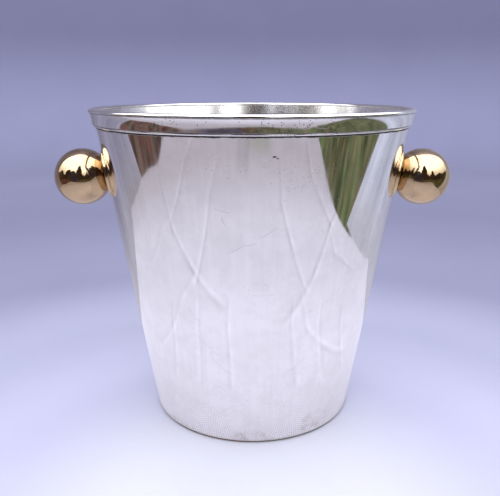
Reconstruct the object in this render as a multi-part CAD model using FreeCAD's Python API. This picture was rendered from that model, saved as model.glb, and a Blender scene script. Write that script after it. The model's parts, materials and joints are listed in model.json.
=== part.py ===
import FreeCAD, Part
import math
import os

from FreeCAD import Vector

# Champagne bucket: a spun, silver-plated tapered bucket with a flared, banded
# mouth and a gilt ball handle bolted through the wall on each side.
# Millimetres, +Z up. The origin is the centre of the foot on the table, and
# the two handles lie along X.

# ---------------------------------------------------------------- driving sizes
# Bucket
RIM_DIA = 200.0             # over the rim wire
HEIGHT = 197.0              # table to the top of the rim wire
BASE_DIA = 130.0            # wall's outside, carried down to the table
WALL = 1.2                  # spun sheet, square to the wall
BASE_RISE = 2.5             # the base's middle is pushed up this far
BASE_LEDGE = 5.2            # flat margin under the base, which the foot ring is soldered to
BASE_STEP = 2.4             # width of the sloping step between margin and middle
BASE_CORNER = 0.8           # outside radius between wall and base

# Mouth
FLARE = 1.5                 # the mouth opens out this far behind the collar
COLLAR_THICK = 1.7          # the applied band, measured level
COLLAR_HEIGHT = 7.05        # lower edge to the seat of the rim wire
COLLAR_HOLLOW = 0.2         # how far the band's face is dished
RIM_WIRE_DIA = 3.0          # round wire with a flat seat
RIM_WIRE_SEAT = 0.55        # wire's centre above its seat
RIM_OVERHANG = 0.4          # the wire stands this far outside the collar
BEAD_DIA = 1.3              # half-round wire under the collar
BEAD_SINK = 0.35            # bead's centre outside the wall

# Foot ring
FOOT_HEIGHT = 1.0
FOOT_WIDTH = 3.0
FOOT_INSET = 0.95           # behind the wall's outside
FOOT_EDGE = 0.35            # rounded lower edges

# Handles, measured along an axis that is square to the wall
HANDLE_DROP = 40.7          # rim top to the point where the axis leaves the wall
BALL_DIA = 36.0
BALL_SEAT_DEPTH = 15.2      # ball centre to its turned flat
PLATE_DIA = 33.0            # round wall plate behind the ball
PLATE_EDGE = 1.9            # its thickness at the edge
PLATE_CROWN = 3.0           # its thickness under the ball
PLATE_SEAT_DIA = 20.0       # flat that the ball is pulled up against
PLATE_ROUND = 0.6           # eased edge
STUD_DIA = 6.0
STUD_GRIP = 10.0            # length inside the ball
STUD_GAP = 0.2              # clearance round the stud in plate and wall
BALL_HOLE_SPARE = 1.5       # blind hole beyond the stud's end
OUTER_SEAL_DIA = 14.0
OUTER_SEAL_THICK = 0.8
INNER_SEAL_DIA = 17.0
INNER_SEAL_THICK = 1.4      # on the axis
WASHER_DIA = 16.0
WASHER_THICK = 1.0
LOCK_DIA = 11.4
LOCK_THICK = 1.4
LOCK_SPLIT = 1.0
NUT_FLATS = 10.0
NUT_HEX_HEIGHT = 5.0
NUT_CHAMFER = 0.3           # flats are turned this far in at the dome's end
NUT_DOME_DIA = 9.2
NUT_DOME_HEIGHT = 4.0
NUT_HOLE_DEPTH = 6.6
NUT_HOLE_SPARE = 0.6        # blind hole beyond the stud's end

# ---------------------------------------------------------------- worked-out sizes
SEAT_Z = HEIGHT - RIM_WIRE_DIA / 2 - RIM_WIRE_SEAT      # top edge of wall and collar
COLLAR_Z = SEAT_Z - COLLAR_HEIGHT                       # lower edge of the collar
LIP_R = RIM_DIA / 2 - RIM_OVERHANG - COLLAR_THICK       # wall's outside at the seat
MOUTH_R = LIP_R - FLARE                                 # wall's outside at the collar's foot
BASE_R = BASE_DIA / 2
SLOPE = (MOUTH_R - BASE_R) / COLLAR_Z
TAPER = math.atan(SLOPE)
FLARE_ANGLE = math.atan(FLARE / COLLAR_HEIGHT)
LEVEL_WALL = WALL / math.cos(TAPER)                     # wall measured level
LEVEL_LIP = WALL / math.cos(FLARE_ANGLE)
BASE_TOP = FOOT_HEIGHT + WALL
HANDLE_Z = HEIGHT - HANDLE_DROP
SKIN = 0.05                                             # overlap for cutting tools


def wall_radius(z):
    """Outside radius of the tapered wall at height z."""
    return BASE_R + SLOPE * z


# ---------------------------------------------------------------- drawing helpers
def point(r, z):
    return Vector(r, 0, z)


def revolve(edges):
    """Solid of revolution about Z from a closed section in the XZ plane."""
    face = Part.Face(Part.Wire(edges))
    solid = face.revolve(Vector(0, 0, 0), Vector(0, 0, 1), 360)
    return Part.Solid(solid) if solid.ShapeType != "Solid" else solid


def section(corners):
    """Closed outline through (r, z, rounding) corners, in order."""
    starts = []
    ends = []
    arcs = []
    count = len(corners)
    for i, (r, z, rounding) in enumerate(corners):
        here = point(r, z)
        before = point(*corners[i - 1][:2]) - here
        after = point(*corners[(i + 1) % count][:2]) - here
        if rounding == 0:
            starts.append(here)
            ends.append(here)
            arcs.append(None)
            continue
        before.normalize()
        after.normalize()
        half = before.getAngle(after) / 2
        run = rounding / math.tan(half)
        inward = (before + after).normalize()
        middle = here + inward * (rounding / math.sin(half) - rounding)
        starts.append(here + before * run)
        ends.append(here + after * run)
        arcs.append(Part.Arc(starts[-1], middle, ends[-1]).toShape())
    edges = []
    for i in range(count):
        if arcs[i]:
            edges.append(arcs[i])
        edges.append(Part.makeLine(ends[i], starts[(i + 1) % count]))
    return edges


def seated_wire(centre, radius, seat_distance, seat_direction):
    """Section of a round wire with one flat, on the side seat_direction points to."""
    half = math.sqrt(radius ** 2 - seat_distance ** 2)
    along = Vector(-seat_direction.z, 0, seat_direction.x)
    seat = centre + seat_direction * seat_distance
    low = seat - along * half
    high = seat + along * half
    far = centre - seat_direction * radius
    return [Part.Arc(low, far, high).toShape(), Part.makeLine(high, low)]


def disc(radius, low, high, hole=0.0):
    """Plain turned disc on the Z axis between two heights."""
    shape = Part.makeCylinder(radius, high - low, Vector(0, 0, low))
    if hole:
        shape = shape.cut(Part.makeCylinder(hole, high - low + 2 * SKIN, Vector(0, 0, low - SKIN)))
    return shape


# ---------------------------------------------------------------- bucket pieces
def wall_solid(outward):
    """Everything inside the tapered wall's outer face, moved outward level."""
    cone = Part.makeCone(BASE_R + outward, wall_radius(COLLAR_Z) + outward, COLLAR_Z)
    cone.rotate(Vector(0, 0, 0), Vector(0, 0, 1), 90)       # its seam clear of the handles
    return cone


def bucket_body():
    ledge_r = wall_radius(FOOT_HEIGHT) - BASE_LEDGE
    middle_r = ledge_r - BASE_STEP
    corners = [
        (0, FOOT_HEIGHT + BASE_RISE, 0),
        (middle_r, FOOT_HEIGHT + BASE_RISE, WALL),
        (ledge_r, FOOT_HEIGHT, WALL),
        (wall_radius(FOOT_HEIGHT), FOOT_HEIGHT, BASE_CORNER),
        (MOUTH_R, COLLAR_Z, 0),
        (LIP_R, SEAT_Z, 0),
        (LIP_R - LEVEL_LIP, SEAT_Z, 0),
        (MOUTH_R - LEVEL_WALL, COLLAR_Z, 0),
        (wall_radius(BASE_TOP) - LEVEL_WALL, BASE_TOP, WALL),
        (ledge_r, BASE_TOP, 0),
        (middle_r, BASE_TOP + BASE_RISE, 0),
        (0, BASE_TOP + BASE_RISE, 0),
    ]
    body = revolve(section(corners))
    for side in (1, -1):
        body = body.cut(on_wall(disc(STUD_DIA / 2 + STUD_GAP, -4 * WALL, 4 * WALL), side))
    return body


def rim_collar():
    low_in = point(MOUTH_R, COLLAR_Z)
    high_in = point(LIP_R, SEAT_Z)
    level = Vector(COLLAR_THICK, 0, 0)
    low_out = low_in + level
    high_out = high_in + level
    face = (high_out - low_out).normalize()
    dish = Vector(-face.z, 0, face.x) * COLLAR_HOLLOW
    middle = (low_out + high_out) * 0.5 + dish
    return revolve([
        Part.makeLine(low_in, low_out),
        Part.Arc(low_out, middle, high_out).toShape(),
        Part.makeLine(high_out, high_in),
        Part.makeLine(high_in, low_in),
    ])


def rim_wire():
    radius = RIM_WIRE_DIA / 2
    centre = point(RIM_DIA / 2 - radius, HEIGHT - radius)
    return revolve(seated_wire(centre, radius, RIM_WIRE_SEAT, Vector(0, 0, -1)))


def collar_bead():
    radius = BEAD_DIA / 2
    z = COLLAR_Z - radius
    inward = Vector(-math.cos(TAPER), 0, math.sin(TAPER))
    centre = point(wall_radius(z), z) - inward * BEAD_SINK
    return revolve(seated_wire(centre, radius, BEAD_SINK, inward))


def foot_ring():
    outer = wall_radius(FOOT_HEIGHT) - FOOT_INSET
    inner = outer - FOOT_WIDTH
    return revolve(section([
        (inner, 0, FOOT_EDGE),
        (outer, 0, FOOT_EDGE),
        (outer, FOOT_HEIGHT, 0),
        (inner, FOOT_HEIGHT, 0),
    ]))


# ---------------------------------------------------------------- handle pieces
# Each is turned about its own Z axis, with zero on the wall's outer face and
# plus pointing out, and is then set on the wall.
def on_wall(shape, side):
    """Stand a turned piece square on the wall, on the +X (1) or -X (-1) side."""
    shape = shape.copy()
    shape.rotate(Vector(0, 0, 0), Vector(0, 1, 0), 90 + math.degrees(TAPER))
    shape.translate(point(wall_radius(HANDLE_Z), HANDLE_Z))
    if side < 0:
        shape.rotate(Vector(0, 0, 0), Vector(0, 0, 1), 180)
    return shape


def ball_handle(side):
    radius = BALL_DIA / 2
    centre = PLATE_CROWN + BALL_SEAT_DEPTH
    ball = Part.makeSphere(radius, Vector(0, 0, centre))
    ball = ball.common(disc(BALL_DIA, PLATE_CROWN, centre + BALL_DIA))
    hole_end = PLATE_CROWN + STUD_GRIP + BALL_HOLE_SPARE
    return on_wall(ball.cut(disc(STUD_DIA / 2, PLATE_CROWN - SKIN, hole_end)), side)


def wall_plate(side):
    """Round plate bent to the wall, with a low crown that the ball seats on."""
    radius = PLATE_DIA / 2
    seat = PLATE_SEAT_DIA / 2
    round_blank = on_wall(disc(radius, -PLATE_DIA / 4, PLATE_CROWN), side)
    plate = round_blank.common(wall_solid(PLATE_EDGE / math.cos(TAPER)))
    rim = [edge for edge in plate.Edges if is_outer_rim(edge, side)]
    plate = plate.makeFillet(PLATE_ROUND, rim)
    crown = Part.makeCone(radius - PLATE_ROUND, seat, PLATE_CROWN)
    plate = plate.fuse(on_wall(crown, side)).removeSplitter()
    plate = plate.cut(wall_solid(0))
    plate = plate.cut(on_wall(disc(STUD_DIA / 2 + STUD_GAP, -PLATE_DIA / 4, 2 * PLATE_CROWN), side))
    recess = disc(OUTER_SEAL_DIA / 2, -PLATE_DIA / 4, OUTER_SEAL_THICK)
    return plate.cut(on_wall(recess, side))


def is_outer_rim(edge, side):
    """True for the edge where the plate's round side meets its outer face."""
    axis = on_wall(Part.makeLine(Vector(0, 0, 0), Vector(0, 0, 1)), side)
    origin = axis.Vertexes[0].Point
    out = axis.Vertexes[1].Point - origin
    heights = [(p - origin).dot(out) for p in edge.discretize(9)]
    reach = [((p - origin) - out * (p - origin).dot(out)).Length for p in edge.discretize(9)]
    return min(reach) > PLATE_DIA / 2 - SKIN and max(heights) > 0


def outer_seal(side):
    ring = disc(OUTER_SEAL_DIA / 2, -OUTER_SEAL_DIA / 4, OUTER_SEAL_THICK, STUD_DIA / 2)
    return on_wall(ring, side).cut(wall_solid(0))


def inner_seal(side):
    """Soft washer that fills the hollow of the wall's inner face."""
    ring = disc(INNER_SEAL_DIA / 2, -WALL - INNER_SEAL_THICK, WALL, STUD_DIA / 2)
    return on_wall(ring, side).common(wall_solid(-LEVEL_WALL))


def backing_washer(side):
    top = -WALL - INNER_SEAL_THICK
    return on_wall(disc(WASHER_DIA / 2, top - WASHER_THICK, top, STUD_DIA / 2), side)


def lock_washer(side):
    top = -WALL - INNER_SEAL_THICK - WASHER_THICK
    ring = disc(LOCK_DIA / 2, top - LOCK_THICK, top, STUD_DIA / 2)
    corner = Vector(0, -LOCK_SPLIT / 2, top - 1.5 * LOCK_THICK)
    split = Part.makeBox(LOCK_DIA, LOCK_SPLIT, 2 * LOCK_THICK, corner)
    return on_wall(ring.cut(split), side)


def cap_nut(side):
    """Hexagon with a turned chamfer, a domed end and a blind hole."""
    corner = Vector(NUT_FLATS / 2 / math.cos(math.pi / 6), 0, 0)
    turns = [FreeCAD.Rotation(Vector(0, 0, 1), 60 * i) for i in range(7)]
    outline = Part.makePolygon([turn.multVec(corner) for turn in turns])
    hexagon = Part.Face(outline).extrude(Vector(0, 0, -NUT_HEX_HEIGHT))
    end_r = NUT_FLATS / 2 - NUT_CHAMFER
    inward = Vector(0, 0, -1)
    chamfer = Part.makeCone(end_r + NUT_HEX_HEIGHT, end_r, NUT_HEX_HEIGHT, Vector(0, 0, 0), inward)
    dome = Part.makeSphere(NUT_DOME_DIA / 2)
    squash = FreeCAD.Matrix()
    squash.scale(1, 1, 2 * NUT_DOME_HEIGHT / NUT_DOME_DIA)
    dome = dome.transformGeometry(squash)
    dome.translate(Vector(0, 0, -NUT_HEX_HEIGHT))
    dome = dome.common(disc(NUT_DOME_DIA, -NUT_HEX_HEIGHT - NUT_DOME_DIA, -NUT_HEX_HEIGHT / 2))
    nut = hexagon.common(chamfer).fuse(dome).removeSplitter()
    nut = nut.cut(disc(STUD_DIA / 2, -NUT_HOLE_DEPTH, SKIN))
    nut.translate(Vector(0, 0, -WALL - INNER_SEAL_THICK - WASHER_THICK - LOCK_THICK))
    return on_wall(nut, side)


def threaded_stud(side):
    nut_face = -WALL - INNER_SEAL_THICK - WASHER_THICK - LOCK_THICK
    inner_end = nut_face - NUT_HOLE_DEPTH + NUT_HOLE_SPARE
    return on_wall(disc(STUD_DIA / 2, inner_end, PLATE_CROWN + STUD_GRIP), side)


# ---------------------------------------------------------------- build
BUCKET_PIECES = [bucket_body, rim_collar, rim_wire, collar_bead, foot_ring]
HANDLE_PIECES = [ball_handle, wall_plate, outer_seal, threaded_stud,
                 inner_seal, backing_washer, lock_washer, cap_nut]
SIDES = {"right": 1, "left": -1}


def build():
    pieces = {make.__name__: make() for make in BUCKET_PIECES}
    for name, side in SIDES.items():
        for make in HANDLE_PIECES:
            pieces[name + "_" + make.__name__] = make(side)
    return pieces


os.makedirs("parts", exist_ok=True)
for node, shape in build().items():
    if not shape.isValid() or len(shape.Solids) != 1:
        raise ValueError(node + " is not one valid solid")
    shape.Solids[0].exportStep("parts/" + node + ".step")
    box = shape.BoundBox
    print("%-22s volume %9.1f  z %7.2f to %7.2f  x %8.2f to %8.2f"
          % (node, shape.Volume, box.ZMin, box.ZMax, box.XMin, box.XMax))
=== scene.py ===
import json
import math

import bpy
from mathutils import Matrix, Vector

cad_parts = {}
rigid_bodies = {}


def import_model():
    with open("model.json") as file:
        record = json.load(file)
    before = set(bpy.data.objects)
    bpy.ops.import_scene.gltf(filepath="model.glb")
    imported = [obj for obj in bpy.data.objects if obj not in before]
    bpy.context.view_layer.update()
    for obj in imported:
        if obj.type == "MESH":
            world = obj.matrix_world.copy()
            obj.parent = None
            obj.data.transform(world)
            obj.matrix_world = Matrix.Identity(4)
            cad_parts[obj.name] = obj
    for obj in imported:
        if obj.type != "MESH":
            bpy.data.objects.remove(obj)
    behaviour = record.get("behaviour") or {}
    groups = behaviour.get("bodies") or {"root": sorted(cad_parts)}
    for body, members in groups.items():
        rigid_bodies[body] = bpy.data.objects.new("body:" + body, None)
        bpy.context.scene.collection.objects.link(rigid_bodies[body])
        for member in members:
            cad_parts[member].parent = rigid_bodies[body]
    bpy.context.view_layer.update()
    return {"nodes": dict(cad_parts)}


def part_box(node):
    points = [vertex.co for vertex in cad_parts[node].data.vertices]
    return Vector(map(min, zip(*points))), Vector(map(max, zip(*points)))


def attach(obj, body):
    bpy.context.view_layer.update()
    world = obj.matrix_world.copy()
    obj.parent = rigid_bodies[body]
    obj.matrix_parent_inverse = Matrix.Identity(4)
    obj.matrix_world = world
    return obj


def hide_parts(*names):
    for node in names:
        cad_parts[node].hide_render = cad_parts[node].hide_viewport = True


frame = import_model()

MM = 0.001

# ---------------------------------------------------------------- camera and studio sizes
LENS = 43.6
CAMERA_DISTANCE = 0.390
CAMERA_HEIGHT = 0.2104
CAMERA_TILT = math.radians(15.08)
CAMERA_SHIFT = -0.0046
FLOOR_R = 1.1
WALL_COVE = 0.35
WALL_TOP = 1.2
POOL = (0, -0.12, 0)    # middle of the light on the floor
UNROLL_R = 0.082        # patterns on the bucket are laid out at this radius


# ---------------------------------------------------------------- sizes read from the frame
def corners_of(node):
    """(radius, height) of each of a CAD node's corners."""
    return [(math.hypot(v.co.x, v.co.y), v.co.z) for v in frame["nodes"][node].data.vertices]


def radii_at(node, z):
    """Smallest and largest radius of a node's corners at height z."""
    radii = [r for r, height in corners_of(node) if abs(height - z) < 0.05 * MM]
    return min(radii), max(radii)


RIM_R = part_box("rim_wire")[1].x
RIM_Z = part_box("rim_wire")[1].z
SEAT_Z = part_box("bucket_body")[1].z
FOOT_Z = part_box("bucket_body")[0].z
COLLAR_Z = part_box("rim_collar")[0].z
MOUTH_R = radii_at("rim_collar", COLLAR_Z)[0]
COLLAR_LOW_R = radii_at("rim_collar", COLLAR_Z)[1]
LIP_R, COLLAR_TOP_R = radii_at("rim_collar", SEAT_Z)
MOUTH_IN_R = radii_at("bucket_body", COLLAR_Z)[0]
LIP_IN_R = radii_at("bucket_body", SEAT_Z)[0]
CORNER_R, CORNER_Z = max(c for c in corners_of("bucket_body") if c[1] < FOOT_Z + 2 * MM)
SLOPE = (MOUTH_R - CORNER_R) / (COLLAR_Z - CORNER_Z)
TAPER = math.atan(SLOPE)
RIM_WIRE_R = 1.5 * MM
WALL = (MOUTH_R - MOUTH_IN_R) * math.cos(TAPER)
FLOOR_TOP = max(z for r, z in corners_of("bucket_body") if r < CORNER_R - 6 * MM and z < 10 * MM)

BALL_LOW, BALL_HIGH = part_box("right_ball_handle")
BALL_R = (BALL_HIGH.y - BALL_LOW.y) / 2
BALL_CENTRE = Vector((BALL_HIGH.x - BALL_R, 0, (BALL_HIGH.z + BALL_LOW.z) / 2))
OUTWARD = Vector((math.cos(TAPER), 0, -math.sin(TAPER)))


def wall_radius(z):
    return CORNER_R + SLOPE * (z - CORNER_Z)


def along_axis_to_wall(start, direction):
    """Distance from start along direction to the tapered wall's outer face."""
    reach = wall_radius(start.z)
    a = direction.x ** 2 + direction.y ** 2 - (SLOPE * direction.z) ** 2
    b = 2 * (start.x * direction.x + start.y * direction.y - SLOPE * direction.z * reach)
    c = start.x ** 2 + start.y ** 2 - reach ** 2
    root = math.sqrt(b * b - 4 * a * c)
    return min(((-b + root) / (2 * a), (-b - root) / (2 * a)), key=abs)


WALL_POINT = BALL_CENTRE + OUTWARD * along_axis_to_wall(BALL_CENTRE, OUTWARD)
BALL_OUT = (BALL_CENTRE - WALL_POINT).length


# ---------------------------------------------------------------- node-tree helpers
def add_node(tree, kind, values=None, **settings):
    """New node; values maps an input's name or index to a number or to a socket to link from."""
    node = tree.nodes.new(kind)
    for name, value in settings.items():
        setattr(node, name, value)
    for key, value in (values or {}).items():
        socket = node.inputs[key]
        if isinstance(value, bpy.types.NodeSocket):
            tree.links.new(value, socket)
        else:
            socket.default_value = value
    return node


def maths(tree, operation, *values):
    node = add_node(tree, "ShaderNodeMath", dict(enumerate(values)), operation=operation)
    return node.outputs[0]


def new_group(name, inputs):
    """Geometry node group with a geometry input and output and the named inputs."""
    tree = bpy.data.node_groups.new(name, "GeometryNodeTree")
    tree.interface.new_socket("Geometry", in_out="INPUT", socket_type="NodeSocketGeometry")
    tree.interface.new_socket("Geometry", in_out="OUTPUT", socket_type="NodeSocketGeometry")
    for label, kind in inputs.items():
        tree.interface.new_socket(label, in_out="INPUT", socket_type="NodeSocket" + kind)
    return tree, tree.nodes.new("NodeGroupInput").outputs


def run_group(piece, tree, **inputs):
    """Put a node group on an object, set its named inputs and keep the result as a plain mesh."""
    modifier = piece.modifiers.new(tree.name, "NODES")
    modifier.node_group = tree
    for socket in tree.interface.items_tree:
        if socket.in_out == "INPUT" and socket.name in inputs:
            modifier[socket.identifier] = inputs[socket.name]
    depsgraph = bpy.context.evaluated_depsgraph_get()
    made = bpy.data.meshes.new_from_object(piece.evaluated_get(depsgraph))
    piece.modifiers.clear()
    piece.data = made
    return piece


# ---------------------------------------------------------------- turning
TURN_PATH_R = 1.0       # the profile is carried round a circle of this radius
MERGE_GAP = 2e-6
SHARP_ANGLE = math.radians(32)


def turning_group():
    """Carries a profile round the Z axis, like metal spun or turned on a lathe."""
    tree, given = new_group("turn_on_axis", {
        "Segments": "Int", "Wave_height": "Float", "Wave_scale": "Float", "Seed": "Float",
        "Material": "Material"})
    circle = add_node(tree, "GeometryNodeCurvePrimitiveCircle",
                      {"Resolution": given["Segments"], "Radius": TURN_PATH_R})
    upright = add_node(tree, "GeometryNodeSetCurveNormal", {"Curve": circle.outputs["Curve"]}, mode="Z_UP")
    profile = add_node(tree, "GeometryNodeMeshToCurve", {"Mesh": given["Geometry"]})
    swept = add_node(tree, "GeometryNodeCurveToMesh", {
        "Curve": upright.outputs["Curve"], "Profile Curve": profile.outputs["Curve"]})
    closed = add_node(tree, "GeometryNodeMergeByDistance",
                      {"Geometry": swept.outputs["Mesh"], "Distance": MERGE_GAP})
    place = add_node(tree, "GeometryNodeInputPosition").outputs[0]
    noise = add_node(tree, "ShaderNodeTexNoise", {
        "Vector": place, "Scale": given["Wave_scale"], "W": given["Seed"], "Detail": 1.0},
        noise_dimensions="4D")
    swing = maths(tree, "SUBTRACT", noise.outputs["Fac"], 0.5)
    height = maths(tree, "MULTIPLY", swing, given["Wave_height"])
    normal = add_node(tree, "GeometryNodeInputNormal").outputs[0]
    offset = add_node(tree, "ShaderNodeVectorMath", {0: normal, "Scale": height}, operation="SCALE")
    waved = add_node(tree, "GeometryNodeSetPosition", {
        "Geometry": closed.outputs[0], "Offset": offset.outputs[0]})
    bend = add_node(tree, "GeometryNodeInputMeshEdgeAngle").outputs["Unsigned Angle"]
    crease = maths(tree, "GREATER_THAN", bend, SHARP_ANGLE)
    smooth = add_node(tree, "GeometryNodeSetShadeSmooth",
                      {"Geometry": waved.outputs[0], "Shade Smooth": True})
    sharp = add_node(tree, "GeometryNodeSetShadeSmooth", {
        "Geometry": smooth.outputs[0], "Selection": crease, "Shade Smooth": False}, domain="EDGE")
    solid = add_node(tree, "GeometryNodeRealizeInstances", {0: sharp.outputs[0]})
    finished = add_node(tree, "GeometryNodeSetMaterial",
                        {0: solid.outputs[0], "Material": given["Material"]})
    tree.links.new(finished.outputs[0], tree.nodes.new("NodeGroupOutput").inputs[0])
    return tree


TURNING = turning_group()


def rounded(corners, steps=6):
    """Outline through (r, z, rounding) corners, with an arc at each rounded one."""
    points = []
    for i, (r, z, rounding) in enumerate(corners):
        here = Vector((r, z))
        if not rounding:
            points.append(here)
            continue
        before = (Vector(corners[i - 1][:2]) - here).normalized()
        after = (Vector(corners[i + 1][:2]) - here).normalized()
        half = before.angle(after) / 2
        centre = here + (before + after).normalized() * (rounding / math.sin(half))
        first = here + before * (rounding / math.tan(half)) - centre
        last = here + after * (rounding / math.tan(half)) - centre
        turn = first.angle_signed(last)
        for step in range(steps + 1):
            points.append(centre + Matrix.Rotation(-turn * step / steps, 2) @ first)
    return points


def arc(centre, radius, start, end, steps):
    """Points on an arc, with angles in degrees from +r towards +z."""
    angles = [math.radians(start + (end - start) * i / steps) for i in range(steps + 1)]
    return [Vector((centre[0] + radius * math.cos(a), centre[1] + radius * math.sin(a))) for a in angles]


def closer(points, gap):
    """The same outline with long runs divided into steps no longer than gap."""
    result = [points[0]]
    for a, b in zip(points, points[1:]):
        steps = max(1, math.ceil((b - a).length / gap))
        result += [a.lerp(b, i / steps) for i in range(1, steps + 1)]
    return result


def volume_of(mesh):
    """Signed volume inside a mesh: negative when its faces point inwards."""
    return sum(face.center.dot(face.normal) * face.area for face in mesh.polygons) / 3


def turned(name, outline, material, segments=256, wave=0.0, wave_scale=9.0, seed=0.0, closed=False):
    """A piece turned about Z from a list of (radius, height) points."""
    verts = [(r - TURN_PATH_R, -z, 0) for r, z in outline]
    edges = [(i, i + 1) for i in range(len(verts) - 1)]
    if closed:
        edges.append((len(verts) - 1, 0))
    mesh = bpy.data.meshes.new(name)
    mesh.from_pydata(verts, edges, [])
    piece = bpy.data.objects.new(name, mesh)
    bpy.context.scene.collection.objects.link(piece)
    run_group(piece, TURNING, Segments=segments, Wave_height=wave, Wave_scale=wave_scale,
              Seed=seed, Material=material)
    if volume_of(piece.data) < 0:
        piece.data.flip_normals()
    return piece


def finish_piece(piece, slot, *nodes):
    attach(piece, "root")
    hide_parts(*nodes)


# ---------------------------------------------------------------- surface patterns
def bare_material(name):
    material = bpy.data.materials.new(name)
    material.use_nodes = True
    tree = material.node_tree
    return material, tree, tree.nodes["Principled BSDF"]


def link_to(shader, **sockets):
    """Link values to a shader's sockets; an underscore stands for a space in a socket's name."""
    for name, value in sockets.items():
        shader.id_data.links.new(value, shader.inputs[name.replace("_", " ")])


def object_place(tree):
    return add_node(tree, "ShaderNodeTexCoord").outputs["Object"]


def vector(tree, x=0.0, y=0.0, z=0.0):
    return add_node(tree, "ShaderNodeCombineXYZ", {0: x, 1: y, 2: z}).outputs[0]


def unrolled(tree):
    """Distance round the bucket from its front and height on it, both in metres."""
    part = add_node(tree, "ShaderNodeSeparateXYZ", {0: object_place(tree)})
    ahead = maths(tree, "MULTIPLY", part.outputs["Y"], -1.0)
    angle = maths(tree, "ARCTAN2", part.outputs["X"], ahead)
    return maths(tree, "MULTIPLY", angle, UNROLL_R), part.outputs["Z"]


def cloud(tree, place, scale, detail=3.0, rough=0.55, stretch=(1, 1, 1)):
    """Noise from 0 to 1; stretch multiplies the scale along each axis."""
    sized = add_node(tree, "ShaderNodeMapping", {"Vector": place, "Scale": stretch}).outputs[0]
    noise = add_node(tree, "ShaderNodeTexNoise", {
        "Vector": sized, "Scale": scale, "Detail": detail, "Roughness": rough})
    return noise.outputs["Fac"]


def fade(tree, value, start, end):
    """Smooth step from 0 at start to 1 at end."""
    return add_node(tree, "ShaderNodeMapRange", {"Value": value, "From Min": start, "From Max": end},
                    interpolation_type="SMOOTHSTEP").outputs["Result"]


def scaled(tree, colour, factor):
    return add_node(tree, "ShaderNodeVectorMath", {0: colour, "Scale": factor}, operation="SCALE").outputs[0]


def blend(tree, factor, first, second):
    """Colour mixed from first to second; either may be a colour or a socket."""
    mix = add_node(tree, "ShaderNodeMix", data_type="RGBA")
    for key, value in ((0, factor), (6, first), (7, second)):
        if isinstance(value, bpy.types.NodeSocket):
            tree.links.new(value, mix.inputs[key])
        else:
            mix.inputs[key].default_value = value if key == 0 else (*value, 1)
    return mix.outputs[2]


def strongest(tree, *masks):
    result = masks[0]
    for mask in masks[1:]:
        result = maths(tree, "MAXIMUM", result, mask)
    return result


def patch(tree, around, height, centre, size):
    """Soft oval mask at (degrees round from the front, millimetres up), with its half sizes in mm."""
    across = maths(tree, "SUBTRACT", around, math.radians(centre[0]) * UNROLL_R)
    up = maths(tree, "SUBTRACT", height, centre[1] * MM)
    across = maths(tree, "POWER", maths(tree, "DIVIDE", across, size[0] * MM), 2.0)
    up = maths(tree, "POWER", maths(tree, "DIVIDE", up, size[1] * MM), 2.0)
    return fade(tree, maths(tree, "ADD", across, up), 1.0, 0.2)


def specks(tree, place, scale, size, among):
    """Small round pits in cells 1/scale across, where the mask among is high."""
    cells = add_node(tree, "ShaderNodeTexVoronoi", {"Vector": place, "Scale": scale}, feature="F1")
    chance = add_node(tree, "ShaderNodeSeparateXYZ", {0: cells.outputs["Color"]}).outputs[0]
    here = maths(tree, "LESS_THAN", chance, among)
    pit = fade(tree, cells.outputs["Distance"], size, size * 0.4)
    return maths(tree, "MULTIPLY", pit, here)


def hairline_group():
    """Mask of one straight scratch between two places on the unrolled wall."""
    tree = bpy.data.node_groups.new("hairline", "ShaderNodeTree")
    for label in ("Around", "Height", "Start_around", "Start_height", "Along_around", "Along_height",
                  "Length", "Width"):
        tree.interface.new_socket(label, in_out="INPUT", socket_type="NodeSocketFloat")
    tree.interface.new_socket("Mask", in_out="OUTPUT", socket_type="NodeSocketFloat")
    given = tree.nodes.new("NodeGroupInput").outputs
    across = maths(tree, "SUBTRACT", given["Around"], given["Start_around"])
    up = maths(tree, "SUBTRACT", given["Height"], given["Start_height"])
    along = maths(tree, "ADD", maths(tree, "MULTIPLY", across, given["Along_around"]),
                  maths(tree, "MULTIPLY", up, given["Along_height"]))
    aside = maths(tree, "SUBTRACT", maths(tree, "MULTIPLY", across, given["Along_height"]),
                  maths(tree, "MULTIPLY", up, given["Along_around"]))
    share = maths(tree, "DIVIDE", along, given["Length"])
    bow = maths(tree, "MULTIPLY", maths(tree, "SINE", maths(tree, "MULTIPLY", share, math.pi)), 0.0006)
    aside = maths(tree, "ABSOLUTE", maths(tree, "SUBTRACT", aside, bow))
    near = maths(tree, "SUBTRACT", 1.0, maths(tree, "DIVIDE", aside, given["Width"]))
    middle = maths(tree, "ABSOLUTE", maths(tree, "SUBTRACT", share, 0.5))
    within = fade(tree, middle, 0.5, 0.35)
    mask = maths(tree, "MULTIPLY", maths(tree, "MAXIMUM", near, 0.0), within)
    tree.links.new(mask, tree.nodes.new("NodeGroupOutput").inputs[0])
    return tree


HAIRLINE = hairline_group()


def hairline(tree, around, height, start, end, width):
    """A scratch from start to end, each (degrees round from the front, millimetres up)."""
    first = Vector((math.radians(start[0]) * UNROLL_R, start[1] * MM))
    run = Vector((math.radians(end[0]) * UNROLL_R, end[1] * MM)) - first
    way = run.normalized()
    return add_node(tree, "ShaderNodeGroup", {
        "Around": around, "Height": height, "Start_around": first.x, "Start_height": first.y,
        "Along_around": way.x, "Along_height": way.y, "Length": run.length, "Width": width * MM},
        node_tree=HAIRLINE).outputs[0]


def relief(tree, shader, height, depth):
    """Bump of the given depth in metres."""
    bump = add_node(tree, "ShaderNodeBump", {"Height": height, "Strength": 1.0, "Distance": depth})
    link_to(shader, Normal=bump.outputs[0])


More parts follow.
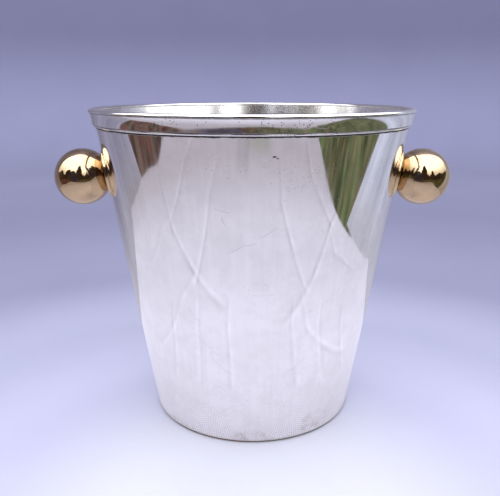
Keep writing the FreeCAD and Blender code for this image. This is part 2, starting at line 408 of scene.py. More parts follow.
# ---------------------------------------------------------------- materials
CLEAN_SILVER = (0.94, 0.93, 0.92)
DULL_SILVER = (0.84, 0.82, 0.81)
FILMED_SILVER = (0.79, 0.78, 0.765)
SCRATCHED_SILVER = (0.55, 0.52, 0.50)
# brown tarnish, and also painted shade at the bucket's foot
BROWN_TARNISH_AND_SHADE = (0.36, 0.27, 0.19)
# black tarnish, and also painted shade in lines under and along the band
BLACK_TARNISH_AND_SHADE = (0.05, 0.04, 0.035)
CLEAN_GILT = (0.58, 0.43, 0.265)
DULL_GILT = (0.51, 0.375, 0.235)
RUBBED_GILT = (0.68, 0.53, 0.35)
GILT_PIT = (0.22, 0.12, 0.05)
CLEAN_RUBBER = (0.018, 0.018, 0.019)
BLOOMED_RUBBER = (0.06, 0.058, 0.055)

# from and to as (degrees round from the front, millimetres up), then the width in millimetres
SCRATCHES = [
    ((-9, 125.5), (-3, 130), 0.35), ((-3, 130), (2, 131.5), 0.3), ((2, 134), (8.5, 140), 0.25),
    ((-24, 73), (-13, 60), 0.3), ((-18, 60), (-8.5, 48), 0.25), ((-10, 146), (-9, 141), 0.5),
    ((16, 51.5), (20, 53), 0.4), ((-12.5, 150), (-7, 148), 0.25), ((-27, 91), (-21, 81), 0.25),
    ((34, 120), (41, 111), 0.25), ((-52, 96), (-44, 82), 0.25), ((112, 90), (124, 104), 0.3),
    ((-128, 60), (-139, 71), 0.3), ((163, 128), (171, 121), 0.35), ((-168, 84), (-160, 80), 0.3),
    ((96, 36), (103, 29), 0.3),
]


def silver_of_bucket():
    material, tree, shader = bare_material("silver_plate_wall")
    place = object_place(tree)
    around, height = unrolled(tree)
    flat = vector(tree, around, height)
    normal = add_node(tree, "ShaderNodeTexCoord").outputs["Normal"]
    side = add_node(tree, "ShaderNodeVectorMath", {0: normal, 1: place},
                    operation="DOT_PRODUCT").outputs["Value"]
    inside = fade(tree, side, 0.002, -0.002)

    haze = cloud(tree, place, 26, detail=4)
    wiped = cloud(tree, flat, 420, detail=2, stretch=(1, 0.03, 1))
    fine = cloud(tree, flat, 1900, detail=1, stretch=(1, 0.05, 1))
    smear = fade(tree, maths(tree, "ADD", maths(tree, "MULTIPLY", haze, 0.6),
                             maths(tree, "MULTIPLY", wiped, 0.4)), 0.42, 0.62)
    lines = [hairline(tree, around, height, *scratch) for scratch in SCRATCHES]
    scratched = strongest(tree, *lines)
    seam = maths(tree, "MULTIPLY", hairline(tree, around, height, (0.3, 124), (0.3, 26), 0.5), 0.25)

    pitted = strongest(tree, patch(tree, around, height, (14, 166), (16, 10)),
                       maths(tree, "MULTIPLY", patch(tree, around, height, (-8, 172), (30, 8)), 0.5),
                       maths(tree, "MULTIPLY", patch(tree, around, height, (2, 102), (14, 9)), 0.6))
    pits = specks(tree, place, 1050, 0.31, maths(tree, "ADD", maths(tree, "MULTIPLY", pitted, 0.34), 0.005))
    pits = maths(tree, "MULTIPLY", pits, 0.75)
    ding = strongest(tree, patch(tree, around, height, (6.6, 176.5), (1.2, 0.6)),
                     patch(tree, around, height, (7.6, 175.7), (0.8, 0.4)))

    # Ragged dark line on the wall just under the band: painted shade, with tarnish.
    ragged = cloud(tree, flat, 300, detail=3)
    swing = maths(tree, "MULTIPLY", maths(tree, "SUBTRACT", ragged, 0.5), 1.2 * MM)
    edge = maths(tree, "ADD", height, swing)
    band_shade_and_tarnish = maths(tree, "MULTIPLY", fade(tree, edge, COLLAR_Z - 2.5 * MM, COLLAR_Z - 2.0 * MM),
                    fade(tree, edge, COLLAR_Z - 0.3 * MM, COLLAR_Z - 0.8 * MM))
    band_shade_and_tarnish = maths(tree, "MULTIPLY", band_shade_and_tarnish, maths(tree, "SUBTRACT", 1.0, inside))
    stain_and_shade_blots = cloud(tree, flat, 130, detail=4, rough=0.7)
    low = maths(tree, "MULTIPLY", strongest(
        tree, patch(tree, around, height, (34, 9), (18, 9)), patch(tree, around, height, (0, 5), (22, 5)),
        patch(tree, around, height, (-45, 3), (20, 4)), patch(tree, around, height, (150, 7), (26, 8))),
        fade(tree, stain_and_shade_blots, 0.40, 0.75))
    # Darker brown at the bucket's foot: painted shade, broken up by the same blots as the stains near the
    # bottom.
    foot_shade = maths(tree, "MULTIPLY", fade(tree, height, 2.8 * MM, 1.4 * MM),
                      fade(tree, stain_and_shade_blots, 0.30, 0.55))
    stains_and_foot_shade = maths(tree, "MULTIPLY", strongest(tree, low, foot_shade), 0.5)

    water = cloud(tree, place, 45, detail=5, rough=0.65)
    tide = maths(tree, "ABSOLUTE", maths(tree, "SUBTRACT", water, 0.5))
    tide = maths(tree, "MULTIPLY", fade(tree, tide, 0.02, 0.0), inside)

    film = fade(tree, cloud(tree, place, 95, detail=5, rough=0.7), 0.40, 0.65)
    colour = blend(tree, maths(tree, "MULTIPLY", smear, 0.45), CLEAN_SILVER, DULL_SILVER)
    colour = blend(tree, maths(tree, "MULTIPLY", film, 0.42), colour, FILMED_SILVER)
    colour = blend(tree, maths(tree, "MULTIPLY", tide, 0.25), colour, BROWN_TARNISH_AND_SHADE)
    colour = blend(tree, stains_and_foot_shade, colour, BROWN_TARNISH_AND_SHADE)
    colour = blend(tree, maths(tree, "MULTIPLY", scratched, 0.5), colour, SCRATCHED_SILVER)
    dark = strongest(tree, pits, ding, band_shade_and_tarnish)
    colour = blend(tree, dark, colour, BLACK_TARNISH_AND_SHADE)

    rough = maths(tree, "MULTIPLY_ADD", smear, 0.045, 0.03)
    rough = maths(tree, "MULTIPLY_ADD", fine, 0.03, rough)
    rough = maths(tree, "MULTIPLY_ADD", strongest(tree, scratched, seam, stains_and_foot_shade), 0.22, rough)
    rough = maths(tree, "MULTIPLY_ADD", inside, 0.16, rough)
    rough = maths(tree, "MULTIPLY_ADD", dark, 0.5, rough)
    link_to(shader, Base_Color=colour, Roughness=rough,
            Metallic=maths(tree, "MULTIPLY_ADD", dark, -0.6, 1.0))
    worn = maths(tree, "SUBTRACT", maths(tree, "MULTIPLY", fine, 0.15),
                 strongest(tree, scratched, pits, ding))
    relief(tree, shader, worn, 0.012 * MM)
    return material


def silver_of_trim():
    """The mouth band, its wires and the foot: polished, with pits, and painted shade as broken dark lines at
    the band's foot and top.
    """
    material, tree, shader = bare_material("silver_plate_trim")
    place = object_place(tree)
    around, height = unrolled(tree)
    flat = vector(tree, around, height)
    haze = cloud(tree, place, 34, detail=4)
    turned_lines = cloud(tree, flat, 1500, detail=1, stretch=(0.02, 1, 1))
    pitted = strongest(tree, patch(tree, around, height, (18, 191), (40, 9)),
                       maths(tree, "MULTIPLY", patch(tree, around, height, (-30, 191), (30, 9)), 0.35),
                       maths(tree, "MULTIPLY", patch(tree, around, height, (170, 191), (50, 9)), 0.5))
    pits = specks(tree, place, 950, 0.36, maths(tree, "ADD", maths(tree, "MULTIPLY", pitted, 0.34), 0.02))
    grime_and_shade_noise = cloud(tree, flat, 420, detail=4, rough=0.7)
    # Thin dark lines at the band's foot and at its top under the rim wire: painted shade, broken up by
    # noise.
    edge = maths(tree, "ABSOLUTE", maths(tree, "SUBTRACT", height, COLLAR_Z + 0.05 * MM))
    line = maths(tree, "MULTIPLY", fade(tree, edge, 0.26 * MM, 0.10 * MM), fade(tree, grime_and_shade_noise, 0.25, 0.45))
    seat = maths(tree, "ABSOLUTE", maths(tree, "SUBTRACT", height, SEAT_Z))
    line = strongest(tree, line, maths(tree, "MULTIPLY", fade(tree, seat, 0.5 * MM, 0.1 * MM),
                                       fade(tree, grime_and_shade_noise, 0.28, 0.5)))
    stain = strongest(tree, hairline(tree, around, height, (12.5, 190.4), (16.5, 191.1), 0.45),
                      hairline(tree, around, height, (16.5, 191.1), (23, 190.3), 0.35))
    stain = maths(tree, "MULTIPLY", stain, fade(tree, grime_and_shade_noise, 0.36, 0.52))
    dark = strongest(tree, pits, maths(tree, "MULTIPLY", line, 0.8), maths(tree, "MULTIPLY", stain, 0.7))
    smear = fade(tree, haze, 0.40, 0.66)
    colour = blend(tree, maths(tree, "MULTIPLY", smear, 0.5), CLEAN_SILVER, DULL_SILVER)
    colour = blend(tree, dark, colour, BLACK_TARNISH_AND_SHADE)
    rough = maths(tree, "MULTIPLY_ADD", smear, 0.06, 0.05)
    rough = maths(tree, "MULTIPLY_ADD", turned_lines, 0.05, rough)
    rough = maths(tree, "MULTIPLY_ADD", dark, 0.45, rough)
    link_to(shader, Base_Color=colour, Roughness=rough,
            Metallic=maths(tree, "MULTIPLY_ADD", dark, -0.5, 1.0))
    worn = maths(tree, "SUBTRACT", maths(tree, "MULTIPLY", turned_lines, 0.2), pits)
    relief(tree, shader, worn, 0.006 * MM)
    return material


def gilt_brass():
    material, tree, shader = bare_material("gilt_brass")
    place = object_place(tree)
    haze = cloud(tree, place, 70, detail=4)
    streak = cloud(tree, place, 800, detail=2, stretch=(0.12, 1, 1))
    rubbed = fade(tree, cloud(tree, place, 120, detail=3), 0.55, 0.72)
    pits = specks(tree, place, 700, 0.28, 0.035)
    smear = fade(tree, haze, 0.38, 0.68)
    colour = blend(tree, smear, CLEAN_GILT, DULL_GILT)
    colour = blend(tree, maths(tree, "MULTIPLY", rubbed, 0.5), colour, RUBBED_GILT)
    colour = blend(tree, pits, colour, GILT_PIT)
    rough = maths(tree, "MULTIPLY_ADD", smear, 0.04, 0.035)
    rough = maths(tree, "MULTIPLY_ADD", streak, 0.03, rough)
    rough = maths(tree, "MULTIPLY_ADD", pits, 0.4, rough)
    link_to(shader, Base_Color=colour, Roughness=rough)
    shader.inputs["Metallic"].default_value = 1.0
    relief(tree, shader, maths(tree, "SUBTRACT", maths(tree, "MULTIPLY", streak, 0.15), pits), 0.008 * MM)
    return material


def plated_steel(name, colour, worn_colour, base_rough):
    """Fixings inside the bucket: brushed, a little dulled by ice water."""
    material, tree, shader = bare_material(name)
    place = object_place(tree)
    brushed = cloud(tree, place, 900, detail=2, stretch=(1, 0.1, 1))
    spots = fade(tree, cloud(tree, place, 260, detail=4, rough=0.7), 0.52, 0.68)
    tone = blend(tree, maths(tree, "MULTIPLY", spots, 0.6), colour, worn_colour)
    rough = maths(tree, "MULTIPLY_ADD", brushed, 0.10, base_rough)
    rough = maths(tree, "MULTIPLY_ADD", spots, 0.18, rough)
    link_to(shader, Base_Color=tone, Roughness=rough)
    shader.inputs["Metallic"].default_value = 1.0
    relief(tree, shader, brushed, 0.006 * MM)
    return material


def seal_rubber():
    material, tree, shader = bare_material("seal_rubber")
    place = object_place(tree)
    bloom = fade(tree, cloud(tree, place, 330, detail=4), 0.45, 0.70)
    grain = cloud(tree, place, 2400, detail=2)
    link_to(shader, Base_Color=blend(tree, bloom, CLEAN_RUBBER, BLOOMED_RUBBER),
            Roughness=maths(tree, "MULTIPLY_ADD", bloom, 0.25, 0.55))
    relief(tree, shader, grain, 0.02 * MM)
    return material


def plain_cloth(name, rings):
    """Studio cloth with a pool of light painted into its colour; rings lists (distance from the pool of
    light, colour) from the middle outward.
    """
    material, tree, shader = bare_material(name)
    place = object_place(tree)
    away = add_node(tree, "ShaderNodeVectorMath", {0: place, 1: POOL}, operation="DISTANCE").outputs["Value"]
    colour = rings[0][1]
    for (start, _), (end, tone) in zip(rings, rings[1:]):
        colour = blend(tree, fade(tree, away, start, end), colour, tone)
    weave = cloud(tree, place, 900, detail=2, stretch=(0.25, 1, 1))
    soft = cloud(tree, place, 9, detail=3)
    shade = maths(tree, "MULTIPLY_ADD", weave, 0.05, maths(tree, "MULTIPLY_ADD", soft, 0.10, 0.925))
    link_to(shader, Base_Color=scaled(tree, colour, shade))
    shader.inputs["Roughness"].default_value = 0.95
    shader.inputs["Specular IOR Level"].default_value = 0.1
    return material


BUCKET_SILVER = silver_of_bucket()
TRIM_SILVER = silver_of_trim()
GILT = gilt_brass()
NICKEL = plated_steel("nickel_plate", (0.74, 0.71, 0.65), (0.52, 0.47, 0.40), 0.16)
STEEL = plated_steel("stainless_steel", (0.62, 0.61, 0.60), (0.46, 0.42, 0.38), 0.24)
RUBBER = seal_rubber()


# ---------------------------------------------------------------- bucket
BASE_LEDGE = 5.1 * MM       # flat ring that stands on the foot
BASE_STEP = 2.4 * MM        # slope from that ring up to the raised middle
BASE_ROUND = 1.2 * MM
CORNER_ROUND = 0.8 * MM
INNER_ROUND = 0.6 * MM
WALL_WAVE = 0.25 * MM       # how far the spun sheet wanders from true
WALL_WAVE_SCALE = 13.0
COLLAR_LEAN = 0.10          # outward run per height at the band's foot
COLLAR_STEPS = 16
BEAD_TURN = 120             # degrees each way from straight out that the bead shows
FOOT_ROUND = 0.35 * MM


def make_bucket():
    ledge = CORNER_R - BASE_LEDGE
    middle = ledge - BASE_STEP
    rise = FLOOR_TOP - WALL - FOOT_Z
    outline = rounded([
        (0, FOOT_Z + rise, 0),
        (middle, FOOT_Z + rise, BASE_ROUND),
        (ledge, FOOT_Z, BASE_ROUND),
        (wall_radius(FOOT_Z), FOOT_Z, CORNER_ROUND),
        (MOUTH_R, COLLAR_Z, 0),
        (LIP_R, SEAT_Z, 0),
        (LIP_IN_R, SEAT_Z, 0),
        (MOUTH_IN_R, COLLAR_Z, 0),
        (wall_radius(FOOT_Z + WALL) - WALL / math.cos(TAPER), FOOT_Z + WALL, BASE_ROUND),
        (ledge, FOOT_Z + WALL, INNER_ROUND),
        (middle, FLOOR_TOP, INNER_ROUND),
        (0, FLOOR_TOP, 0),
    ])
    body = turned("spun_bucket", closer(outline, 2.4 * MM), BUCKET_SILVER, segments=288, wave=WALL_WAVE,
                  wave_scale=WALL_WAVE_SCALE, seed=4.0)
    finish_piece(body, "silver_plate", "bucket_body")


def make_collar():
    """Band round the mouth: nearly level with the wall at its foot, flared at its top."""
    height = SEAT_Z - COLLAR_Z
    lean = COLLAR_LEAN * height
    flare = COLLAR_TOP_R - COLLAR_LOW_R - lean
    face = []
    for i in range(COLLAR_STEPS + 1):
        share = i / COLLAR_STEPS
        out = lean * share + flare * share ** 3
        face.append(Vector((COLLAR_LOW_R + out, COLLAR_Z + height * share)))
    outline = face + [Vector((LIP_R, SEAT_Z)), Vector((MOUTH_R, COLLAR_Z))]
    collar = turned("mouth_collar", outline, TRIM_SILVER, closed=True)
    finish_piece(collar, "silver_plate", "rim_collar")


def make_wires():
    height = RIM_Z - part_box("rim_wire")[0].z
    radius = RIM_WIRE_R
    seat = height - radius
    opening = math.degrees(math.acos(seat / radius))
    wire = arc((RIM_R - radius, RIM_Z - radius), radius, -90 + opening, 270 - opening, 32)
    finish_piece(turned("rolled_rim_wire", wire, TRIM_SILVER, closed=True), "silver_plate", "rim_wire")

    bead_low, bead_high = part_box("collar_bead")
    radius = (bead_high.z - bead_low.z) / 2
    centre = (bead_high.x - radius, (bead_high.z + bead_low.z) / 2)
    bead = arc(centre, radius, -BEAD_TURN, BEAD_TURN, 20)
    finish_piece(turned("bead_wire", bead, TRIM_SILVER, closed=True), "silver_plate", "collar_bead")

    inner, outer = radii_at("foot_ring", FOOT_Z)
    foot = rounded([(outer, FOOT_Z, 0), (outer, 0, FOOT_ROUND), (inner, 0, FOOT_ROUND), (inner, FOOT_Z, 0)])
    finish_piece(turned("foot_wire", foot, TRIM_SILVER, closed=True), "silver_plate", "foot_ring")


# ---------------------------------------------------------------- handles
PLATE_CROWN = 3.0 * MM      # the plate's height at its middle, where the ball sits on it
PLATE_EDGE = 1.9 * MM


def set_on_wall(piece, side):
    """Stand a turned piece square on the wall: its zero on the wall's face, its +Z outward."""
    tilt = Matrix.Rotation(math.pi / 2 + TAPER, 4, "Y")
    turn = Matrix.Rotation(0 if side > 0 else math.pi, 4, "Z")
    piece.data.transform(turn @ Matrix.Translation(WALL_POINT) @ tilt)


def bend_to_wall(piece):
    """Drop each corner by the wall's fall away from the handle's axis."""
    down = Vector((-math.sin(TAPER), 0, -math.cos(TAPER)))
    for corner in piece.data.vertices:
        above = WALL_POINT + down * corner.co.x + Vector((0, corner.co.y, 0))
        corner.co.z += along_axis_to_wall(above, OUTWARD)


def make_handle(name, side):
    seat = BALL_OUT - PLATE_CROWN
    flat = math.sqrt(BALL_R ** 2 - seat ** 2)
    start = -math.degrees(math.asin(seat / BALL_R))
    ball = [Vector((0, PLATE_CROWN)), Vector((flat, PLATE_CROWN))]
    ball += arc((0, BALL_OUT), BALL_R, start, 90, 96)
    ball[-1].x = 0
    ball = turned(name + "_gilt_ball", ball, GILT, segments=192)
    set_on_wall(ball, side)
    finish_piece(ball, "gilt", name + "_ball_handle")

    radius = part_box(name + "_wall_plate")[1].y
    plate = rounded([
        (0, PLATE_CROWN, 0),
        (10 * MM, PLATE_CROWN, 2 * MM),
        (radius - 0.5 * MM, PLATE_EDGE + 0.15 * MM, 0.5 * MM),
        (radius, PLATE_EDGE - 0.5 * MM, 0.3 * MM),
        (radius, 0, 0),
        (0, 0, 0),
    ])
    plate = turned(name + "_gilt_plate", closer(plate, 1.0 * MM), GILT, segments=192)
    bend_to_wall(plate)
    set_on_wall(plate, side)
    finish_piece(plate, "gilt", name + "_wall_plate")


def finish_fixings(name):
    finishes = {"outer_seal": RUBBER, "inner_seal": RUBBER, "threaded_stud": STEEL,
                "backing_washer": NICKEL, "lock_washer": STEEL, "cap_nut": NICKEL}
    for part, material in finishes.items():
        for slot in frame["nodes"][name + "_" + part].material_slots:
            slot.material = material


# ---------------------------------------------------------------- studio
# The bucket is a mirror, so what it reflects is made too: a cloth on the floor that
# ends a little way off, a cloth hung behind, and dark ground and skyline beyond.
LIGHTEN = 1 / 2.0           # the sky lights a white cloth to about 2, and this brings it back to 1
WALL_TONE = (0.26, 0.268, 0.43)
WALL_BLEND_START = 1.25     # distances from the pool of light over which floor turns to wall
WALL_BLEND_END = 1.75
# the seen floor's colours, a painted pool of light, as (distance from the pool of light, colour), from the
# middle outward
FLOOR_RINGS = [(0.0, (0.80, 0.81, 0.95)), (0.05, (0.80, 0.81, 0.95)), (0.16, (0.58, 0.59, 0.81)),
               (0.27, (0.43, 0.44, 0.62)), (0.42, (0.26, 0.265, 0.41)), (0.80, (0.195, 0.20, 0.325))]

CLOTH_FRONT = -0.56
CLOTH_BACK = 0.12
CLOTH_LEFT = -0.50
CLOTH_RIGHT = 0.32
CLOTH_SPREAD = 0.06         # the right edge runs out this much further at the front
CLOTH_LIFT = 0.6 * MM
CLOTH_ROWS = 210
CLOTH_COLUMNS = 260
WEAVE_PITCH = 2.2 * MM
NEAR_TONE = (0.75, 0.74, 0.87)
MIDDLE_TONE = (0.54, 0.53, 0.62)
FAR_TONE = (0.345, 0.32, 0.36)
SMUDGE_TONE = (0.22, 0.23, 0.19)

HUNG_TOP = 1.0
HUNG_ROWS = 80
HUNG_COLUMNS = 240
HUNG_LEFT_TONE = (0.27, 0.26, 0.36)
HUNG_RIGHT_TONE = (0.56, 0.58, 0.73)
# how far back the hung cloth is at its foot, knee and top, as (height, y)
HUNG_MIDDLE = [(0, 0.11), (0.30, 0.20), (HUNG_TOP, 0.24)]
HUNG_LEFT_EDGE = [(0, -0.05), (0.15, 0.06), (HUNG_TOP, 0.20)]
HUNG_RIGHT_EDGE = [(0, -0.10), (0.30, 0.13), (HUNG_TOP, 0.22)]

FOLD_PITCH = 0.16           # the cloth was kept folded, and its folds run front to back this far apart
FOLD_SHIFT = -0.02
FOLD_DRAW = 0.08            # share by which a fold is drawn in towards the bucket, twice
FOLD_FRONT = -0.42
FOLD_BACK = -0.02
CROSS_FOLD = -0.17          # one fold runs across, and dies out in front of the bucket
CROSS_SLANT = 0.012
CROSS_OUTER = 0.38
CROSS_INNER = 0.08
RUCK_OUTER = 0.20           # short rucks run in towards the bucket's foot
RUCK_INNER = 0.11
RUCK_TURN = 24              # degrees from one ruck to the next
RUCK_SKEW = 7
FOLD_STRENGTH = 0.9
SOFT_STRENGTH = 0.5         # close to the bucket, where the cloth lies flatter
CREASE_RUNS = 3
CREASE_BOW = 0.012


def crease(start, end, depth, bow=CREASE_BOW):
    """A crease in short runs from start to end, swung to one side and back by the bow."""
    start, end = Vector(start), Vector(end)
    aside = (end - start).orthogonal().normalized() * bow
    places = []
    for i in range(CREASE_RUNS + 1):
        share = i / CREASE_RUNS
        places.append(start.lerp(end, share) + aside * math.sin(math.tau * share * 0.8))
    return [(first, last, depth) for first, last in zip(places, places[1:])]


def cloth_creases():
    """Every crease of the floor cloth, as (start, end, strength); a strength below zero is a hollow."""
    lines = []
    for side in (-1, 1):
        outer = (side * CROSS_OUTER, CROSS_FOLD + side * CROSS_SLANT)
        lines += crease(outer, (side * CROSS_INNER, CROSS_FOLD), FOLD_STRENGTH)
        for count in (1, 2):
            x = side * count * FOLD_PITCH + FOLD_SHIFT
            middle = (x * (1 - FOLD_DRAW), CROSS_FOLD)
            lines += crease((x, FOLD_FRONT), middle, side * FOLD_STRENGTH)
            lines += crease(middle, (x * (1 - 2 * FOLD_DRAW), FOLD_BACK), SOFT_STRENGTH)
        for count in (1, 2, 3):
            turn = math.radians(count * RUCK_TURN + side * RUCK_SKEW)
            way = Vector((side * math.sin(turn), -math.cos(turn)))
            depth = SOFT_STRENGTH * (-1) ** (count + 1)
            lines += crease(way * RUCK_OUTER, way * RUCK_INNER, depth, CREASE_BOW / 3)
    return lines


CREASES = cloth_creases()


def crease_shade(x, y):
    """Brightness change from the creases: a light side and a dark side, softer further off."""
    shade = 0.0
    here = Vector((x, y))
    for first, last, depth in CREASES:
        run = last - first
        share = (here - first).dot(run) / run.length_squared
        if not -0.2 < share < 1.2:
            continue
        off = ((here.x - first.x) * run.y - (here.y - first.y) * run.x) / run.length
        width = 0.0030 + 0.008 * max(0.0, first.length - 0.15)
        fall = min(1.0, (share + 0.2) / 0.2, (1.2 - share) / 0.2)
        light_side = math.exp(-((off - width) / width) ** 2)
        dark_side = math.exp(-((off + width) / width) ** 2)
        shade += depth * fall * (light_side - 1.2 * dark_side)
    return shade


def grid_piece(name, rows, tones, material):
    """Sheet through rows of points, with a colour at each point."""
    across = len(rows[0])
    points = [point for row in rows for point in row]
    faces = [(i, i + 1, i + 1 + across, i + across)
             for start in range(0, len(points) - across, across) for i in range(start, start + across - 1)]
    mesh = bpy.data.meshes.new(name)
    mesh.from_pydata(points, [], faces)
    colours = mesh.color_attributes.new("tone", "FLOAT_COLOR", "POINT")
    for i, tone in enumerate(tones):
        colours.data[i].color = (*tone, 1)
    mesh.materials.append(material)
    sheet = bpy.data.objects.new(name, mesh)
    bpy.context.scene.collection.objects.link(sheet)
    return sheet


def hung_light():
    """The hung cloth: an even light with the tones of its points."""
    material, tree, _ = bare_material("reflected_backdrop")
    tone = add_node(tree, "ShaderNodeAttribute", attribute_name="tone").outputs["Color"]
    light = add_node(tree, "ShaderNodeEmission", {"Color": tone})
    tree.links.new(light.outputs[0], tree.nodes["Material Output"].inputs["Surface"])
    return material


def woven_cloth():
    """The floor cloth: the tones of its points, with its weave showing close to the bucket."""
    material, tree, shader = bare_material("reflected_floor")
    tone = add_node(tree, "ShaderNodeAttribute", attribute_name="tone").outputs["Color"]
    place = object_place(tree)
    part = add_node(tree, "ShaderNodeSeparateXYZ", {0: place}).outputs
    threads = [maths(tree, "SINE", maths(tree, "MULTIPLY", part[axis], math.tau / WEAVE_PITCH))
               for axis in "XY"]
    away = add_node(tree, "ShaderNodeVectorMath", {0: place}, operation="LENGTH").outputs["Value"]
    weave = maths(tree, "MULTIPLY", maths(tree, "MULTIPLY", *threads), fade(tree, away, 0.15, 0.08))
    link_to(shader, Base_Color=scaled(tree, tone, maths(tree, "MULTIPLY_ADD", weave, -0.22, 1.0)))
    shader.inputs["Roughness"].default_value = 1.0
    shader.inputs["Specular IOR Level"].default_value = 0.0
    return material


def between(value, low, high):
    """Smooth step of a number: 0 up to low, 1 from high on."""
    share = min(1.0, max(0.0, (value - low) / (high - low)))
    return share * share * (3 - 2 * share)


def mixed(first, second, share):
    return Vector(first).lerp(Vector(second), share)


def seen_in_mirror_only(card):
    card.visible_camera = False
    card.visible_diffuse = False
    card.visible_shadow = False


def follow(steps, place):
    """Value at a place between (place, value) steps, which run straight from one to the next."""
    for (low, first), (high, second) in zip(steps, steps[1:]):
        if place <= high:
            return first + (second - first) * (place - low) / (high - low)
    return steps[-1][1]


def cloth_edges(y):
    """Left and right edges of the floor cloth at y; both wander a little."""
    bulge = 0.028 * math.exp(-((y + 0.20) / 0.05) ** 2)
    left = CLOTH_LEFT + bulge - 0.02 * between(-y, 0.24, 0.30)
    return left, CLOTH_RIGHT + CLOTH_SPREAD * between(-y, 0.14, 0.46)


def cloth_tone(x, y):
    """Colour of the floor cloth: a painted pool of light, bright by the bucket and darker further off, with
    painted crease shading, a smudge and a dark strip at its front.
    """
    away = math.hypot(x, y)
    # Painted pool of light: the tone darkens away from the bucket.
    tone = mixed(NEAR_TONE, MIDDLE_TONE, between(away, 0.10, 0.30))
    tone = mixed(tone, FAR_TONE, between(away, 0.28, 0.50))
    smudge = between(-y, 0.465, 0.50) * between(x, -0.05, -0.01) * between(-x, -0.12, -0.08)
    tone = mixed(tone, SMUDGE_TONE, 0.5 * smudge)
    strip = between(-y, 0.40, 0.46) * between(x, -0.09, -0.07) * between(-x, 0.01, 0.02)
    return tone * (LIGHTEN * (1 - 0.14 * strip) * (1 + 0.125 * crease_shade(x, y)))


def reflected_floor():
    rows = []
    tones = []
    for along in range(CLOTH_ROWS + 1):
        y = CLOTH_FRONT + (CLOTH_BACK - CLOTH_FRONT) * along / CLOTH_ROWS
        left, right = cloth_edges(y)
        row = []
        for across in range(CLOTH_COLUMNS + 1):
            x = left + (right - left) * across / CLOTH_COLUMNS
            ripple = 0.012 * math.sin(9 * x + 1) + 0.006 * math.sin(31 * x)
            row.append((x, y + ripple * between(-y, 0.4, 0.56), CLOTH_LIFT))
            tones.append(cloth_tone(x, y))
        rows.append(row)
    seen_in_mirror_only(grid_piece("reflected_floor", rows, tones, woven_cloth()))


def hung_cloth(share, z):
    """Place on the hung cloth, from its left edge (0) to its right edge (1), at height z."""
    back = follow(HUNG_MIDDLE, z)
    stations = [(0.0, Vector((-0.50, follow(HUNG_LEFT_EDGE, z)))), (0.2, Vector((-0.43, back))),
                (0.8, Vector((0.28, back))), (1.0, Vector((0.335, follow(HUNG_RIGHT_EDGE, z))))]
    return follow(stations, share)


def hung_tone(share, z, place):
    """Colour of the hung cloth's glow: painted light and shade of folds, a bright left edge, a little dimmer
    from 0.1 m up and much brighter higher up, and mostly the floor's colour at its foot.
    """
    # Painted light and shade of the folds, on a sheet that glows.
    fold = math.sin(26 * share + 5 * z) + 0.6 * math.sin(61 * share - 3 * z + 1)
    fold += 0.5 * math.sin(140 * share + 9 * z) + 2.2 * max(0.0, math.sin(47 * share + 2 * z)) ** 16
    edge = 0.5 * (1 - between(share, 0, 0.025))
    tone = mixed(HUNG_LEFT_TONE, HUNG_RIGHT_TONE, between(share, 0.55, 0.95)) * (0.98 + edge + 0.10 * fold)
    # Painted light: a little dimmer from 0.1 m up, much brighter higher up.
    tone = tone * (1 - 0.15 * between(z, 0.1, 0.35) + 0.90 * between(z, 0.35, 0.8))
    return mixed(cloth_tone(place.x, place.y) / LIGHTEN, tone, 0.3 + 0.7 * between(z, 0, 0.10))


def reflected_backdrop():
    rows = []
    tones = []
    for up in range(HUNG_ROWS + 1):
        row = []
        z = HUNG_TOP * up / HUNG_ROWS
        for across in range(HUNG_COLUMNS + 1):
            share = across / HUNG_COLUMNS
            place = hung_cloth(share, z)
            row.append((place.x, place.y, z))
            tones.append(hung_tone(share, z, place))
        rows.append(row)
    seen_in_mirror_only(grid_piece("reflected_backdrop", rows, tones, hung_light()))


def make_studio():
    """Pale floor that rises into a wall, both left out of reflections, and what the mirror sees instead."""
    rings = [(reach, tuple(part * LIGHTEN for part in tone)) for reach, tone in FLOOR_RINGS]
    flat = closer([Vector((0, 0)), Vector((FLOOR_R, 0))], 0.1)
    floor = turned("studio_floor", flat, plain_cloth("studio_floor", rings), segments=96)
    floor.visible_glossy = False
    cove = arc((FLOOR_R, WALL_COVE), WALL_COVE, -90, 0, 12) + [Vector((FLOOR_R + WALL_COVE, WALL_TOP))]
    wall_rings = [(WALL_BLEND_START, rings[-1][1]), (WALL_BLEND_END, WALL_TONE)]
    wall = turned("studio_wall", cove, plain_cloth("studio_wall", wall_rings), segments=96)
    wall.visible_glossy = False
    wall.visible_diffuse = False
    wall.visible_shadow = False
    reflected_floor()
    reflected_backdrop()


# roofs and people against the sky, as (degrees round from the front, half width in degrees, top's sine)
STANDING = [(-2, 15, 0.80), (-27, 17, 0.46), (-48, 17, 0.50), (32, 9, 0.46), (62, 14, 0.26), (-80, 14, 0.30)]
LOW_SKY = (1.4, 1.4, 1.43)
HIGH_SKY = (3.4, 3.4, 3.5)
EARTH, RED_FLOWERS, LEAVES = (0.13, 0.085, 0.075), (0.23, 0.06, 0.05), (0.08, 0.095, 0.06)
DULL_GRASS, DRY_GRASS, GREEN_GRASS = (0.112, 0.12, 0.068), (0.21, 0.14, 0.075), (0.08, 0.16, 0.045)
FAR_SHADE = (0.05, 0.034, 0.026)
DARK_CLOTHES = (0.045, 0.045, 0.085)
ONLOOKER_AT = math.radians(-22)


def skyline(tree, bearing, ragged, wander):
    """Height of the skyline, as a sine: domes where something stands, and a low ragged line between."""
    tall = []
    for turn, half, top in STANDING:
        aside = maths(tree, "SUBTRACT", bearing, math.radians(turn))
        aside = maths(tree, "ABSOLUTE", maths(tree, "DIVIDE", aside, math.radians(half)))
        dome = maths(tree, "SUBTRACT", 1.0, maths(tree, "POWER", aside, 3.0))
        tall.append(maths(tree, "MULTIPLY", dome, top))
    line = strongest(tree, *tall, maths(tree, "MULTIPLY_ADD", ragged, 0.24, 0.06))
    return maths(tree, "ADD", line, maths(tree, "MULTIPLY", wander, 0.8))


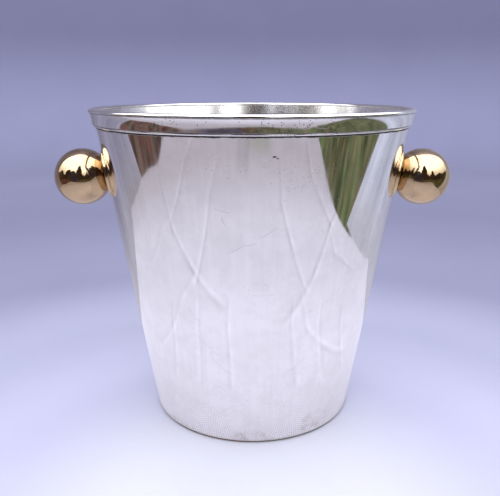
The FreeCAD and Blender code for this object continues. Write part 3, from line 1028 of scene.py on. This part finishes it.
def garden(tree, way, bearing):
    """Colour below the skyline: flowers at the left, grass at the right, dark by the front horizon."""
    part = add_node(tree, "ShaderNodeSeparateXYZ", {0: way}).outputs
    ahead = maths(tree, "MULTIPLY", part["Y"], -1.0)
    blades = cloud(tree, way, 26.0, detail=5, rough=0.7, stretch=(1, 1, 0.22))
    some, other = fade(tree, blades, 0.51, 0.68), fade(tree, blades, 0.48, 0.33)
    border = blend(tree, other, blend(tree, some, EARTH, RED_FLOWERS), LEAVES)
    grass = blend(tree, other, blend(tree, some, DULL_GRASS, DRY_GRASS), GREEN_GRASS)
    ground = blend(tree, fade(tree, part["X"], -0.5, 0.5), border, grass)
    near_horizon = maths(tree, "MULTIPLY", fade(tree, part["Z"], -0.16, -0.04), fade(tree, ahead, -0.2, 0.5))
    ground = blend(tree, near_horizon, ground, FAR_SHADE)
    beside = maths(tree, "ABSOLUTE", maths(tree, "SUBTRACT", bearing, ONLOOKER_AT))
    onlooker = maths(tree, "MULTIPLY", fade(tree, beside, 0.30, 0.22), fade(tree, part["Z"], -0.40, -0.30))
    ground = blend(tree, maths(tree, "MULTIPLY", onlooker, 0.8), ground, DARK_CLOTHES)
    clods = cloud(tree, way, 9.0, detail=5, rough=0.7, stretch=(1.6, 1.6, 0.5))
    return scaled(tree, ground, maths(tree, "MULTIPLY_ADD", fade(tree, clods, 0.30, 0.70), 1.4, 0.30))


def make_sky():
    """Bright cloud over a dark ragged skyline, and dark ground below the horizon."""
    world = bpy.data.worlds.new("open_sky")
    bpy.context.scene.world = world
    world.use_nodes = True
    tree = world.node_tree
    tree.nodes.clear()
    way = add_node(tree, "ShaderNodeTexCoord").outputs["Generated"]
    part = add_node(tree, "ShaderNodeSeparateXYZ", {0: way}).outputs
    angle = maths(tree, "ARCTAN2", part["X"], maths(tree, "MULTIPLY", part["Y"], -1.0))
    ragged = cloud(tree, way, 12.0, detail=3, stretch=(1, 1, 0.4))
    wander = maths(tree, "MULTIPLY_ADD", ragged, 0.20, -0.10)
    bearing = maths(tree, "ADD", angle, wander)
    above = maths(tree, "SUBTRACT", part["Z"], skyline(tree, bearing, ragged, wander))
    glow = blend(tree, fade(tree, part["Z"], 0.25, 0.65), LOW_SKY, HIGH_SKY)
    colour = blend(tree, fade(tree, above, -0.012, 0.012), garden(tree, way, bearing), glow)
    sky = add_node(tree, "ShaderNodeBackground", {"Color": colour, "Strength": 1.0})
    out = tree.nodes.new("ShaderNodeOutputWorld")
    tree.links.new(sky.outputs[0], out.inputs[0])


def make_camera():
    lens = bpy.data.cameras.new("camera")
    lens.lens = LENS
    lens.shift_x = CAMERA_SHIFT
    lens.clip_start = 0.01
    camera = bpy.data.objects.new("camera", lens)
    camera.location = (0, -CAMERA_DISTANCE, CAMERA_HEIGHT)
    camera.rotation_euler = (math.pi / 2 - CAMERA_TILT, 0, 0)
    bpy.context.scene.collection.objects.link(camera)
    bpy.context.scene.camera = camera
    bpy.context.scene.view_settings.view_transform = "Standard"


for leftover in list(bpy.context.scene.objects):
    if leftover.name in ("Cube", "Light", "Camera"):
        bpy.data.objects.remove(leftover)
make_camera()
make_bucket()
make_collar()
make_wires()
for name, side in (("right", 1), ("left", -1)):
    make_handle(name, side)
    finish_fixings(name)
make_sky()
make_studio()
